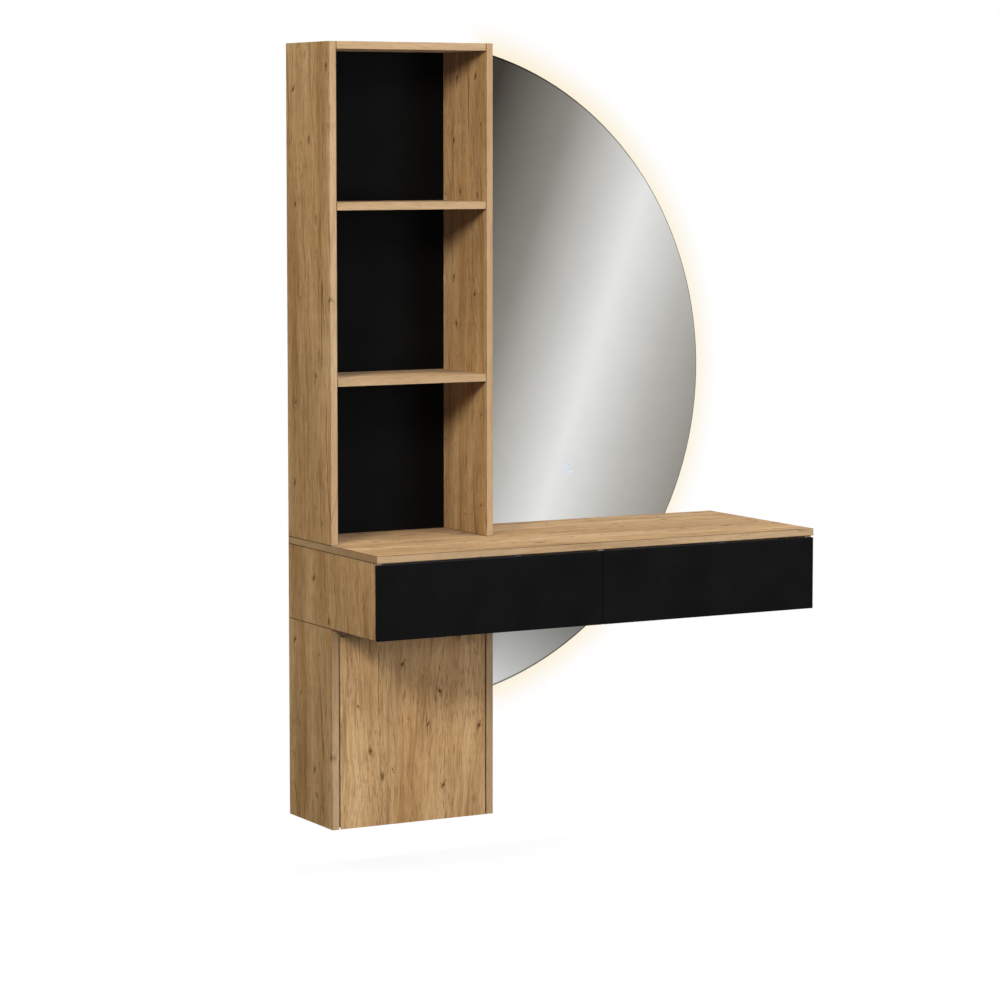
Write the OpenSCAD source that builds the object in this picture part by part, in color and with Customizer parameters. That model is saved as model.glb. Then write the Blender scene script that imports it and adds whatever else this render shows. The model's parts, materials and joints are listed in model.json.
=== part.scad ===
// Wall-hung styling station: open shelf tower and push-open cabinet on the left, a floating desk
// with two push-open drawers, and a large part-round backlit mirror behind them.
// The wall is the plane y = 0 and the front faces -Y. The origin is the centre of the wall face
// of the tower's hanging cleat. All sizes are in millimetres.

/* [Boards] */
// Thickness of the wood-decor boards
board_t = 16; // [15:1:18]
// Thickness of the drawer box boards
box_t = 12; // [10:1:14]
// Thickness of the cabinet's back
thin_back_t = 8; // [4:1:10]

/* [Tower] */
// Width of the tower and of the cabinet under the desk
tower_w = 396; // [360:1:430]
// Depth of the tower and of the cabinet
tower_d = 216; // [200:1:240]
// Height of the tower above the desk top
tower_h = 1081; // [1040:1:1120]
// Height of the lower shelf's top above the desk top
lower_shelf_z = 359; // [320:1:400]
// Height of the upper shelf's top above the desk top
upper_shelf_z = 737; // [700:1:780]

/* [Desk] */
// Width of the desk
desk_w = 1100; // [1050:1:1200]
// Depth of the desk with its drawer fronts
desk_d = 434; // [425:1:480]
// Height of the desk body with its top
desk_h = 181; // [175:1:200]
// Thickness of the drawer fronts
front_t = 10; // [8:1:12]
// Shadow gap between the desk top and the drawer fronts
front_gap = 4; // [3:0.5:5]
// Gap between the two drawer fronts
split_gap = 2.5; // [2:0.5:4]

/* [Cabinet] */
// Height of the cabinet under the desk
cabinet_h = 440; // [400:1:480]
// Gap each side of the door
door_gap = 4; // [4:0.5:6]

/* [Mirror] */
// Radius of the mirror's round edge
mirror_r = 745; // [735:1:750]
// Distance of the mirror's centre from the tower's outer side
mirror_x = 315; // [305:1:320]
// Height of the mirror's centre above the cabinet's bottom
mirror_z = 965; // [955:1:970]
// Thickness of the mirror glass
glass_t = 5; // [4:1:6]
// How far the back tray and the light stand in from the round edge
tray_inset = 45; // [40:1:60]

/* [Mounting] */
// Distance from the wall to the back of the boards
wall_gap = 40; // [40:1:45]
// Radius of the wall screw holes
wall_hole_r = 3.25; // [2.5:0.25:4]

/* [Hidden] */

WOOD = [0.76, 0.60, 0.42];
BLACK = [0.07, 0.07, 0.07];
STEEL = [0.72, 0.73, 0.75];
WHITE = [0.92, 0.92, 0.90];

$fn = 64;
eps = 0.5;                                   // overshoot of a cut past a face

// Planes of the furniture, measured from the wall, the tower's outer side and the cabinet's bottom
back_y = -wall_gap;
tower_y = back_y - tower_d;
desk_y = back_y - desk_d;
desk_z = cabinet_h + desk_h;
top_z = desk_z + tower_h;
inner_x = [board_t, tower_w - board_t];
desk_inner_x = [board_t, desk_w - board_t];
divider_x = [desk_w / 2 - board_t / 2, desk_w / 2 + board_t / 2];
panel_front_y = back_y - board_t;            // front face of the full-thickness backs
front_back_y = desk_y + front_t;             // back of the drawer fronts
carcass_front_y = front_back_y + 0.8;        // front edges of the desk's ends
desk_floor_z = cabinet_h + board_t;
desk_ceiling_z = desk_z - board_t;

// Cabinet and door
door_x = [inner_x[0] + door_gap, inner_x[1] - door_gap];
door_back_y = tower_y + board_t;
cab_floor_z = 3;                             // underside of the cabinet's bottom board
door_top_z = cabinet_h - board_t - 3;
pivot = [door_x[0] + 11, tower_y + board_t / 2];
door_sweep_r = norm([pivot[0] - door_x[0], board_t / 2]) + 0.8;   // reach of the door's inner corner
pin_r = 2.5;
pin_play = 0.05;
plate_t = 2;
plate_half_w = 4.7;
bush_r = 5;
bush_l = 12;

// Wall fixings
cleat_x = [20, tower_w - 26];
cleat_h = 60;
cleat_top_z = top_z - board_t - 10;
cleat_play = 0.4;
desk_cleat_top_z = desk_z - board_t - 5;
right_cleat_x = [desk_w - 115, desk_w - 20];
origin = [(cleat_x[0] + cleat_x[1]) / 2, cleat_top_z - 2 * cleat_h + cleat_h / 2];

// Drawers
bays = [[desk_inner_x[0], divider_x[0]], [divider_x[1], desk_inner_x[1]]];
fronts = [[0, (desk_w - split_gap) / 2], [(desk_w + split_gap) / 2, desk_w]];
runner_t = 12.7;
runner_l = 350;
runner_z = desk_floor_z + 54;
runner_wall = 1.2;
box_z = desk_floor_z + 6;
box_h = 96;
box_l = 360;
box_back_y = front_back_y + box_l;
box_floor_t = 4;

// Push latches
latch_w = 14;
latch_l = 34;
plunger_r = 3.5;
plunger_reach = 13.6;                        // from the tip to the housing at rest
strike_t = 1.5;
door_latch = [door_x[1] - 12, 386];
drawer_latch_z = runner_z;
latch_gap = 0.4;

// Mirror
glass_y = back_y + 1.5;                      // front face of the glass
glass_back_y = glass_y + glass_t;
chord_x = tower_w - 6;
tray_back_y = -10;
tray_t = 1.5;
tray_r = mirror_r - tray_inset;
tray_chord_x = chord_x + 8;
rail_x = [tray_chord_x + 50, tray_chord_x + 400];
rail_z = mirror_z + 250;
rail_t = 1.5;
icon = [mirror_x + 395, mirror_z - 228];
grommet = [tray_chord_x + 160, mirror_z - 60];
driver = [tray_chord_x + 60, mirror_z - 125];
driver_size = [160, 18, 42];
led_t = 1.5;
led_y = [-27, -17];
diffuser_t = 3.5;
diffuser_y = [-29, -15];

// ---- Joints between boards -------------------------------------------------------------------
cam_r = 7.5;
cam_depth = 12.5;
cam_x = 24;                                  // distance of a cam's centre from the board's end
bolt_r = 3;
bolt_sink = 11;
bolt_play = 0.5;
dowel_r = 4;
dowel_l = 30;
fit = 0.1;
side_cams = [back_y - 50, tower_y + 45];
side_dowels = [(side_cams[0] + side_cams[1]) / 2];
desk_cams = [back_y - 80, desk_y + 70];
desk_dowels = [back_y - 150, desk_y + 140];

// Each row: height of the board's middle, its two end planes, places of its cams and its dowels
JOINTS = [
    [top_z - board_t / 2, inner_x, side_cams, side_dowels],
    [desk_z + upper_shelf_z - board_t / 2, inner_x, side_cams, side_dowels],
    [desk_z + lower_shelf_z - board_t / 2, inner_x, side_cams, side_dowels],
    [cabinet_h + board_t / 2, desk_inner_x, desk_cams, desk_dowels],
    [cabinet_h - board_t / 2, inner_x, side_cams, side_dowels],
    [cab_floor_z + board_t / 2, inner_x, side_cams, side_dowels]];

// Upright dowels between the tower's sides and the desk top
UPRIGHTS = [for (x = [board_t / 2, tower_w - board_t / 2], y = [side_cams[0], side_dowels[0],
             side_cams[1]]) [x, y]];

// Bolts that hold the cabinet's top board under the desk
CONNECTORS = [for (x = [inner_x[0] + 60, inner_x[1] - 60], y = [back_y - 70, tower_y + 60]) [x, y]];

// Moves from the furniture's own planes to the origin
module placed() { translate([-origin[0], 0, -origin[1]]) children(); }

module block(lo, hi) { translate(lo) cube(hi - lo); }

// A board from low corner to high corner
module board(x, y, z) { block([x[0], y[0], z[0]], [x[1], y[1], z[1]]); }

module rod_x(r, x, y, z) { translate([x[0], y, z]) rotate([0, 90, 0]) cylinder(r = r, h = x[1] - x[0]); }

module rod_y(r, x, y, z) { translate([x, y[1], z]) rotate([90, 0, 0]) cylinder(r = r, h = y[1] - y[0]); }

module rod_z(r, x, y, z) { translate([x, y, z[0]]) cylinder(r = r, h = z[1] - z[0]); }

// The two ends of a joint: each one's end plane, and the direction from it into the board
function ends(joint) = [[joint[1][0], 1], [joint[1][1], -1]];

function span(a, b) = a < b ? [a, b] : [b, a];

// Everything drilled for the joints whose boards lie between two heights
module joint_holes(z) {
    for (j = JOINTS) if (j[0] > z[0] && j[0] < z[1]) for (e = ends(j)) {
        bottom = j[0] - board_t / 2;
        dowel_end = e[0] + e[1] * (dowel_l - bolt_sink + 1);
        for (y = j[2]) {
            rod_z(cam_r, e[0] + e[1] * cam_x, y, [bottom - eps, bottom + cam_depth]);
            rod_x(bolt_r + bolt_play, span(e[0] - e[1] * eps, e[0] + e[1] * cam_x), y, j[0]);
            rod_x(bolt_r + fit, span(e[0] - e[1] * bolt_sink, e[0] + e[1]), y, j[0]);
        }
        for (y = j[3])
            rod_x(dowel_r + fit, span(e[0] - e[1] * bolt_sink, dowel_end), y, j[0]);
    }
}

module upright_holes() {
    for (p = UPRIGHTS)
        rod_z(dowel_r + fit, p[0], p[1], [desk_z - bolt_sink, desk_z - bolt_sink + dowel_l + 1]);
}

module connector_holes() {
    for (p = CONNECTORS) rod_z(bolt_r + fit, p[0], p[1], [cabinet_h - board_t - 1, desk_floor_z + 1]);
}

// ---- Tower -----------------------------------------------------------------------------------
module tower_side(x) {
    placed() color(WOOD) difference() {
        board(x, [tower_y, back_y], [desk_z, top_z]);
        joint_holes([desk_z, top_z]);
        upright_holes();
    }
}

module tower_left_side() { tower_side([0, board_t]); }

module tower_right_side() { tower_side([tower_w - board_t, tower_w]); }

// A board between the tower's sides whose top is at z
module tower_level(z, y_back) {
    placed() color(WOOD) difference() {
        board(inner_x, [tower_y, y_back], [z - board_t, z]);
        joint_holes([z - board_t, z]);
    }
}

module tower_top() { tower_level(top_z, back_y); }

module tower_upper_shelf() { tower_level(desk_z + upper_shelf_z, panel_front_y); }

module tower_lower_shelf() { tower_level(desk_z + lower_shelf_z, panel_front_y); }

module tower_back_panel() {
    placed() color(BLACK) board(inner_x, [panel_front_y, back_y], [desk_z, top_z - board_t]);
}

// ---- Desk ------------------------------------------------------------------------------------
module desk_top() {
    placed() color(WOOD) difference() {
        board([0, desk_w], [desk_y, back_y], [desk_ceiling_z, desk_z]);
        upright_holes();
    }
}

module desk_end(x) {
    placed() color(WOOD) difference() {
        board(x, [carcass_front_y, back_y], [cabinet_h, desk_ceiling_z]);
        joint_holes([cabinet_h, desk_floor_z]);
    }
}

module desk_left_end() { desk_end([0, board_t]); }

module desk_right_end() { desk_end([desk_w - board_t, desk_w]); }

module desk_bottom() {
    placed() color(WOOD) difference() {
        board(desk_inner_x, [carcass_front_y, back_y], [cabinet_h, desk_floor_z]);
        joint_holes([cabinet_h, desk_floor_z]);
        connector_holes();
    }
}

module desk_divider() {
    placed() color(WOOD) board(divider_x, [carcass_front_y, panel_front_y], [desk_floor_z, desk_ceiling_z]);
}

module desk_back() {
    placed() color(WOOD) board(desk_inner_x, [panel_front_y, back_y], [desk_floor_z, desk_ceiling_z]);
}

// Steel angles that hold the desk top to the ends and the divider
bracket_l = 36;
bracket_w = 30;
bracket_t = 2;

module bracket(x, s, y) {
    board(span(x, x + s * bracket_t), [y, y + bracket_w], [desk_ceiling_z - bracket_l, desk_ceiling_z]);
    board(span(x, x + s * bracket_l), [y, y + bracket_w], [desk_ceiling_z - bracket_t, desk_ceiling_z]);
}

module desk_brackets() {
    placed() color(STEEL)
        for (b = bays, y = [back_y - 120, desk_y + 90]) {
            bracket(b[0], 1, y);
            bracket(b[1], -1, y);
        }
}

// ---- Cabinet ---------------------------------------------------------------------------------
pin_hole_z = 215;
pin_hole_y = [back_y - 45, tower_y + 60];
shelf_pin_r = 2.5;

module pin_holes() {
    for (e = [[inner_x[0], 1], [inner_x[1], -1]], y = pin_hole_y)
        rod_x(shelf_pin_r + fit, span(e[0] - e[1] * 9, e[0] + e[1] * eps), y, pin_hole_z - shelf_pin_r);
}

module cabinet_side(x) {
    placed() color(WOOD) difference() {
        board(x, [tower_y, back_y], [0, cabinet_h]);
        joint_holes([0, cabinet_h]);
        pin_holes();
    }
}

module cabinet_left_side() { cabinet_side([0, board_t]); }

module cabinet_right_side() { cabinet_side([tower_w - board_t, tower_w]); }

module cabinet_top() {
    placed() color(WOOD) difference() {
        board(inner_x, [tower_y + 2, back_y], [cabinet_h - board_t, cabinet_h]);
        joint_holes([cabinet_h - board_t, cabinet_h]);
        connector_holes();
    }
}

// Its front corner is scooped out for the door's inner corner
module cabinet_bottom() {
    placed() color(WOOD) difference() {
        board(inner_x, [door_back_y + 1, back_y], [cab_floor_z, cab_floor_z + board_t]);
        joint_holes([cab_floor_z, cab_floor_z + board_t]);
        rod_z(door_sweep_r, pivot[0], pivot[1], [cab_floor_z - 1, cab_floor_z + board_t + 1]);
    }
}

module cabinet_back() {
    placed() color(WOOD)
        board(inner_x, [back_y - thin_back_t, back_y], [cab_floor_z + board_t, cabinet_h - board_t]);
}

module cabinet_shelf() {
    placed() color(WOOD)
        board([inner_x[0] + 1, inner_x[1] - 1], [door_back_y + 10, back_y - thin_back_t - 1],
              [pin_hole_z, pin_hole_z + board_t]);
}

module shelf_pins() {
    placed() color(STEEL)
        for (e = [[inner_x[0], 1], [inner_x[1], -1]], y = pin_hole_y)
            rod_x(shelf_pin_r, span(e[0] - e[1] * 8, e[0] + e[1] * 8), y, pin_hole_z - shelf_pin_r);
}

// ---- Fasteners -------------------------------------------------------------------------------
module cam_locks() {
    slot = [1.6, 9];
    placed() color(STEEL)
        for (j = JOINTS, e = ends(j), y = j[2]) {
            bottom = j[0] - board_t / 2 + 0.3;
            x = e[0] + e[1] * cam_x;
            difference() {
                rod_z(cam_r - fit, x, y, [bottom, bottom + cam_depth - 0.6]);
                for (s = [slot, [slot[1], slot[0]]] / 2)
                    block([x - s[0], y - s[1], bottom - 1], [x + s[0], y + s[1], bottom + 2]);
            }
        }
}

module cam_bolts() {
    placed() color(STEEL)
        for (j = JOINTS, e = ends(j), y = j[2])
            rod_x(bolt_r, span(e[0] - e[1] * (bolt_sink - fit), e[0] + e[1] * (cam_x - cam_r)), y, j[0]);
}

module dowels() {
    placed() color(WOOD) {
        for (j = JOINTS, e = ends(j), y = j[3]) {
            dowel_start = e[0] - e[1] * (bolt_sink - fit);
            rod_x(dowel_r, span(dowel_start, e[0] + e[1] * (dowel_l - bolt_sink)), y, j[0]);
        }
        for (p = UPRIGHTS)
            rod_z(dowel_r, p[0], p[1], [desk_z - bolt_sink + fit, desk_z - bolt_sink + dowel_l]);
    }
}

module connector_bolts() {
    placed() color(STEEL)
        for (p = CONNECTORS, end = [[cabinet_h - board_t, -1], [desk_floor_z, 1]]) {
            rod_z(bolt_r, p[0], p[1], span(end[0], cabinet_h));
            rod_z(2 * bolt_r, p[0], p[1], span(end[0], end[0] + end[1] * 2));
        }
}

// ---- Wall fixings ----------------------------------------------------------------------------
// The wall half of a cleat rises away from the wall; the board half hooks behind it
module cleat_wall(x, z_top) {
    low = z_top - 2 * cleat_h;
    difference() {
        translate([x[0], 0, low]) rotate([90, 0, 90]) linear_extrude(x[1] - x[0])
            polygon([[0, 0], [0, cleat_h - wall_gap / 2], [-wall_gap + 1, cleat_h + wall_gap / 2 - 1],
                     [-wall_gap + 1, 0]]);
        for (hx = [x[0] + 20, x[1] - 20])
            rod_y(wall_hole_r, hx, [-wall_gap, 1], low + cleat_h / 2);
    }
}

module cleat_back(x, z_top) {
    low = z_top - 2 * cleat_h;
    translate([x[0], 0, low]) rotate([90, 0, 90]) linear_extrude(x[1] - x[0])
        polygon([[-1, cleat_h - wall_gap / 2 + 1 + cleat_play], [-1, 2 * cleat_h], [-wall_gap, 2 * cleat_h],
                 [-wall_gap, cleat_h + wall_gap / 2 + cleat_play]]);
}

CLEATS = [[cleat_x, cleat_top_z], [cleat_x, desk_cleat_top_z], [right_cleat_x, desk_cleat_top_z]];

module wall_cleats() { placed() color(WOOD) for (c = CLEATS) cleat_wall(c[0], c[1]); }

module board_cleats() { placed() color(WOOD) for (c = CLEATS) cleat_back(c[0], c[1]); }

module cabinet_spacer() {
    z = [40, 100];
    placed() color(WOOD) difference() {
        board(cleat_x, [back_y, 0], z);
        for (x = [cleat_x[0] + 20, cleat_x[1] - 20])
            rod_y(wall_hole_r, x, [back_y - 1, 1], (z[0] + z[1]) / 2);
    }
}

// ---- Mirror ----------------------------------------------------------------------------------
// A flat piece with a round edge of radius r and a straight edge at x, between two planes
module round_plate(r, x, y) {
    translate([0, y[1], 0]) rotate([90, 0, 0]) linear_extrude(y[1] - y[0])
        intersection() {
            translate([mirror_x, mirror_z]) circle(r, $fn = 180);
            translate([x, mirror_z - r - 1]) square([r, 2 * r + 2]);
        }
}

module mirror_glass() {
    placed() color([0.8, 0.82, 0.84]) round_plate(mirror_r, chord_x, [glass_y, glass_back_y]);
}

module mirror_tray() {
    placed() color(STEEL) difference() {
        round_plate(tray_r, tray_chord_x, [glass_back_y, tray_back_y]);
        round_plate(tray_r - tray_t, tray_chord_x + tray_t, [glass_back_y - 1, tray_back_y - tray_t]);
        rod_y(7.5, grommet[0], [tray_back_y - 5, tray_back_y + 1], grommet[1]);
    }
}

// Bands that follow the tray's round wall, between two radii
module band(r, y) {
    difference() {
        round_plate(r[1], tray_chord_x + 10, y);
        round_plate(r[0], tray_chord_x - 5, [y[0] - 1, y[1] + 1]);
    }
}

module led_strip() { placed() color(WHITE) band([tray_r, tray_r + led_t], led_y); }

module led_diffuser() {
    placed() color([1, 0.95, 0.8]) band([tray_r + led_t, tray_r + led_t + diffuser_t], diffuser_y);
}

module mirror_hang_rail() {
    y = tray_back_y;
    placed() color(STEEL) translate([rail_x[0], 0, rail_z]) rotate([90, 0, 90])
        linear_extrude(rail_x[1] - rail_x[0])
            polygon([[y, 43.5], [y, 65], [y + rail_t, 65], [y + rail_t, 45], [y + 6.8, 45],
                     [y + 6.8, 25], [y + 5.3, 25], [y + 5.3, 43.5]]);
}

module mirror_wall_rail() {
    placed() color(STEEL) difference() {
        translate([rail_x[0], 0, rail_z]) rotate([90, 0, 90]) linear_extrude(rail_x[1] - rail_x[0])
            polygon([[0, 0], [0, 23.5], [-5, 23.5], [-5, 40], [-5 - rail_t, 40], [-5 - rail_t, 22],
                     [-rail_t, 22], [-rail_t, 0]]);
        for (x = [rail_x[0] + 25, rail_x[1] - 25]) rod_y(2.5, x, [-8, 1], rail_z + 11);
    }
}

module led_driver() {
    placed() color(WHITE)
        board([driver[0], driver[0] + driver_size[0]],
              [tray_back_y - tray_t - driver_size[1], tray_back_y - tray_t],
              [driver[1], driver[1] + driver_size[2]]);
}

module touch_sensor() {
    placed() color([0.1, 0.3, 0.2])
        board([icon[0] - 22, icon[0] + 22], [glass_back_y, glass_back_y + 6],
              [icon[1] - 22, icon[1] + 22]);
}

// A ring over a short bar, lit from behind
module touch_icon() {
    film = [glass_y - 0.3, glass_y];
    placed() color([0.7, 0.85, 1]) {
        difference() {
            rod_y(10, icon[0], film, icon[1] + 5);
            rod_y(5.5, icon[0], [film[0] - 1, film[1] + 1], icon[1] + 5);
        }
        board([icon[0] - 13, icon[0] + 13], film, [icon[1] - 9, icon[1] - 5.5]);
    }
}

module supply_grommet() {
    placed() color(BLACK) translate([grommet[0], tray_back_y, grommet[1]]) rotate([90, 0, 0])
        rotate_extrude() polygon([[4, -2.5], [10, -2.5], [10, 0], [7.4, 0], [7.4, tray_t], [10, tray_t],
                                  [10, tray_t + 2.5], [4, tray_t + 2.5]]);
}

// ---- Door and its pivots ---------------------------------------------------------------------
module pivot_plates() {
    plate_z = [[cab_floor_z - plate_t, cab_floor_z], [cabinet_h - board_t - plate_t, cabinet_h - board_t]];
    placed() color(STEEL) {
        for (z = plate_z) {
            rod_z(plate_half_w, pivot[0], pivot[1], z);
            board([pivot[0] - plate_half_w, pivot[0] + plate_half_w], [pivot[1], pivot[1] + 48], z);
        }
        rod_z(pin_r, pivot[0], pivot[1], [plate_z[0][1], plate_z[0][1] + 11]);
        rod_z(pin_r, pivot[0], pivot[1], [plate_z[1][0] - 11, plate_z[1][0]]);
    }
}

mortise_z = cab_floor_z + 0.6;

module door_panel() {
    placed() color(WOOD) difference() {
        board(door_x, [tower_y, door_back_y], [0, door_top_z]);
        block([door_x[0] - 1, tower_y + 1.7, -1],
              [pivot[0] + plate_half_w + 1.5, door_back_y + 1, mortise_z]);
        rod_z(bush_r, pivot[0], pivot[1], [0, mortise_z + bush_l]);
        rod_z(bush_r, pivot[0], pivot[1], [door_top_z - bush_l, door_top_z + 1]);
    }
}

module door_bushes() {
    placed() color(WHITE)
        for (z = [[mortise_z, mortise_z + bush_l], [door_top_z - bush_l, door_top_z]])
            difference() {
                rod_z(bush_r, pivot[0], pivot[1], z);
                rod_z(pin_r + pin_play, pivot[0], pivot[1], [z[0] - 1, z[1] + 1]);
            }
}

module door_strike_plate() {
    placed() color(STEEL)
        rod_y(7, door_latch[0], [door_back_y, door_back_y + strike_t], door_latch[1]);
}

// ---- Push latches ----------------------------------------------------------------------------
// Tip planes of the plungers: behind the door's strike plate and behind each drawer's back
door_tip_y = door_back_y + strike_t + latch_gap;
drawer_tip_y = box_back_y + latch_gap;
door_housing_y = door_tip_y + plunger_reach;
drawer_housing_y = panel_front_y - latch_l;

function bay_middle(i) = (bays[i][0] + bays[i][1]) / 2;

// A block along y with a blind bore for its plunger
module latch_housing(x, y, z, wing_x) {
    difference() {
        union() {
            board([x - latch_w / 2, x + latch_w / 2], [y, y + latch_l], [z - latch_w / 2, z + latch_w / 2]);
            if (wing_x > x)
                board([x, wing_x], [y + 4, y + latch_l - 4], [z - latch_w / 2, z + latch_w / 2]);
        }
        rod_y(plunger_r + 0.3, x, [y - 1, y + latch_l - 3], z);
    }
}

module latch_housings() {
    placed() color(WHITE) {
        latch_housing(door_latch[0], door_housing_y, door_latch[1], inner_x[1]);
        for (i = [0, 1]) latch_housing(bay_middle(i), drawer_housing_y, drawer_latch_z, 0);
    }
}

module plunger(x, tip_y, housing_y, z) {
    placed() color(BLACK) {
        rod_y(plunger_r, x, [tip_y, housing_y + 20], z);
        rod_y(plunger_r + 1.5, x, [tip_y, tip_y + 3], z);
    }
}

module door_latch_plunger() { plunger(door_latch[0], door_tip_y, door_housing_y, door_latch[1]); }

module drawer_plunger(i) { plunger(bay_middle(i), drawer_tip_y, drawer_housing_y, drawer_latch_z); }

module left_latch_plunger() { drawer_plunger(0); }

module right_latch_plunger() { drawer_plunger(1); }

// ---- Drawers ---------------------------------------------------------------------------------
// A channel along y: web at depth w from the bay wall x, flanges to depth f, half height h
module channel(x, s, w, f, h) {
    y = [carcass_front_y + 3, carcass_front_y + 3 + runner_l];
    board(span(x + s * w, x + s * (w + runner_wall)), y, [runner_z - h, runner_z + h]);
    for (z = [runner_z - h, runner_z + h - runner_wall])
        board(span(x + s * w, x + s * f), y, [z, z + runner_wall]);
}

module runner_pair(i, w, f, h) {
    placed() color(STEEL) {
        channel(bays[i][0], 1, w, f, h);
        channel(bays[i][1], -1, w, f, h);
    }
}

module runner_outer(i) { runner_pair(i, 0, 9, 22.5); }

module runner_middle(i) { runner_pair(i, 2.8, 10.8, 19.5); }

module runner_inner(i) {
    w = runner_t - runner_wall;
    runner_pair(i, w, w - 5.5, 16.5);
}

function box_x(i) = [bays[i][0] + runner_t, bays[i][1] - runner_t];

module drawer_front(i) {
    placed() color(BLACK)
        board(fronts[i], [desk_y, front_back_y], [cabinet_h, desk_ceiling_z - front_gap]);
}

module drawer_sides(i) {
    placed() color(WHITE) for (e = [[box_x(i)[0], 1], [box_x(i)[1], -1]])
        board(span(e[0], e[0] + e[1] * box_t), [front_back_y, box_back_y], [box_z, box_z + box_h]);
}

module drawer_back(i) {
    placed() color(WHITE)
        board([box_x(i)[0] + box_t, box_x(i)[1] - box_t], [box_back_y - box_t, box_back_y],
              [box_z, box_z + box_h]);
}

module drawer_bottom(i) {
    placed() color(WHITE)
        board([box_x(i)[0] + box_t, box_x(i)[1] - box_t], [front_back_y, box_back_y - box_t],
              [box_z, box_z + box_floor_t]);
}

module left_runner_outer() { runner_outer(0); }

module left_runner_middle() { runner_middle(0); }

module left_runner_inner() { runner_inner(0); }

module left_drawer_front() { drawer_front(0); }

module left_drawer_sides() { drawer_sides(0); }

module left_drawer_back() { drawer_back(0); }

module left_drawer_bottom() { drawer_bottom(0); }

module right_runner_outer() { runner_outer(1); }

module right_runner_middle() { runner_middle(1); }

module right_runner_inner() { runner_inner(1); }

module right_drawer_front() { drawer_front(1); }

module right_drawer_sides() { drawer_sides(1); }

module right_drawer_back() { drawer_back(1); }

module right_drawer_bottom() { drawer_bottom(1); }

tower_left_side();
tower_right_side();
tower_top();
tower_upper_shelf();
tower_lower_shelf();
tower_back_panel();
desk_top();
desk_left_end();
desk_right_end();
desk_bottom();
desk_divider();
desk_back();
desk_brackets();
cabinet_left_side();
cabinet_right_side();
cabinet_top();
cabinet_bottom();
cabinet_back();
cabinet_shelf();
shelf_pins();
cam_locks();
cam_bolts();
dowels();
connector_bolts();
wall_cleats();
board_cleats();
cabinet_spacer();
mirror_glass();
mirror_tray();
mirror_hang_rail();
mirror_wall_rail();
led_strip();
led_diffuser();
led_driver();
touch_sensor();
touch_icon();
supply_grommet();
pivot_plates();
latch_housings();
door_panel();
door_bushes();
door_strike_plate();
door_latch_plunger();
left_runner_outer();
left_runner_middle();
left_runner_inner();
left_drawer_front();
left_drawer_sides();
left_drawer_back();
left_drawer_bottom();
left_latch_plunger();
right_runner_outer();
right_runner_middle();
right_runner_inner();
right_drawer_front();
right_drawer_sides();
right_drawer_back();
right_drawer_bottom();
right_latch_plunger();
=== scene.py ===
"""Looks for the wall-hung styling station: oak-decor boards, matt black fronts and a backlit
part-round mirror, on a white wall over a pale floor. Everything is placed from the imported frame."""
import json
import math
from collections import namedtuple

import bpy
from mathutils import Euler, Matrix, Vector

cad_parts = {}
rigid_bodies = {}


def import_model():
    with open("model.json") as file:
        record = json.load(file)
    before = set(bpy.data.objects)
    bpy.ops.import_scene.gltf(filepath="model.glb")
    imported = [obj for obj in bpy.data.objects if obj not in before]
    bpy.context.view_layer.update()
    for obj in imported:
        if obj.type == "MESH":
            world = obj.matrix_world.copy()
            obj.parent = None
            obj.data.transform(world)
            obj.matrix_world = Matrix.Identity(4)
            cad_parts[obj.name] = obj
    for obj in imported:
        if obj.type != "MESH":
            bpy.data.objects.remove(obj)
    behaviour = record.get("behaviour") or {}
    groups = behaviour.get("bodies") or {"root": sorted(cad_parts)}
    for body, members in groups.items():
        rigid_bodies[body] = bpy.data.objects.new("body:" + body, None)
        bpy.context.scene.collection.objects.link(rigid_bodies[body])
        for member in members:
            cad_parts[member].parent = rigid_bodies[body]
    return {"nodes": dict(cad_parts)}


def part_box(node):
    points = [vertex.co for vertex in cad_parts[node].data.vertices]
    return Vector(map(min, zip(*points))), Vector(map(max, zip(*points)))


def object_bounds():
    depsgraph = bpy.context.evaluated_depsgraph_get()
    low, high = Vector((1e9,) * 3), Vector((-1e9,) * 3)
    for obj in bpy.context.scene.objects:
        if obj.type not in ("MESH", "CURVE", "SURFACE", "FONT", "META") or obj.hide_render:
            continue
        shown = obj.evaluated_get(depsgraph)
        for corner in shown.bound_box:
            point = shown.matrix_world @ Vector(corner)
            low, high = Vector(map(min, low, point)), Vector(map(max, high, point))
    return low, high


for leftover in list(bpy.data.objects):
    bpy.data.objects.remove(leftover)

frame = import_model()
cad_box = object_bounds()
NODES = frame["nodes"]
MM = 0.001
ORIGIN = (0.0, 0.0, 0.0)
WHITE = (1.0, 1.0, 1.0, 1.0)

# ---- Camera ---------------------------------------------------------------------------------
CAMERA_AT = (-3.4324, -6.8849, -0.0993)
CAMERA_YAW = math.radians(28.849)
CAMERA_TILT = math.radians(5.021)
CAMERA_LENS = 123.97
CAMERA_SHIFT = -0.055
SENSOR_WIDTH = 36.0
VIEW_DEPTH = 100.0


# ---- Node helpers ---------------------------------------------------------------------------
def add(tree, kind, sockets=None, **settings):
    """A node with its settings, and a value or a link for each named socket."""
    made = tree.nodes.new(kind)
    for name, value in settings.items():
        setattr(made, name, value)
    for name, value in (sockets or {}).items():
        if isinstance(value, bpy.types.NodeSocket):
            tree.links.new(value, made.inputs[name])
        else:
            made.inputs[name].default_value = value
    return made


def maths(tree, operation, a, b=0.0):
    return add(tree, "ShaderNodeMath", {0: a, 1: b}, operation=operation).outputs[0]


def product(tree, *factors):
    result = factors[0]
    for factor in factors[1:]:
        result = maths(tree, "MULTIPLY", result, factor)
    return result


def centred(tree, value, amount):
    """value - 0.5, times amount."""
    return maths(tree, "MULTIPLY", maths(tree, "SUBTRACT", value, 0.5), amount)


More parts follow.
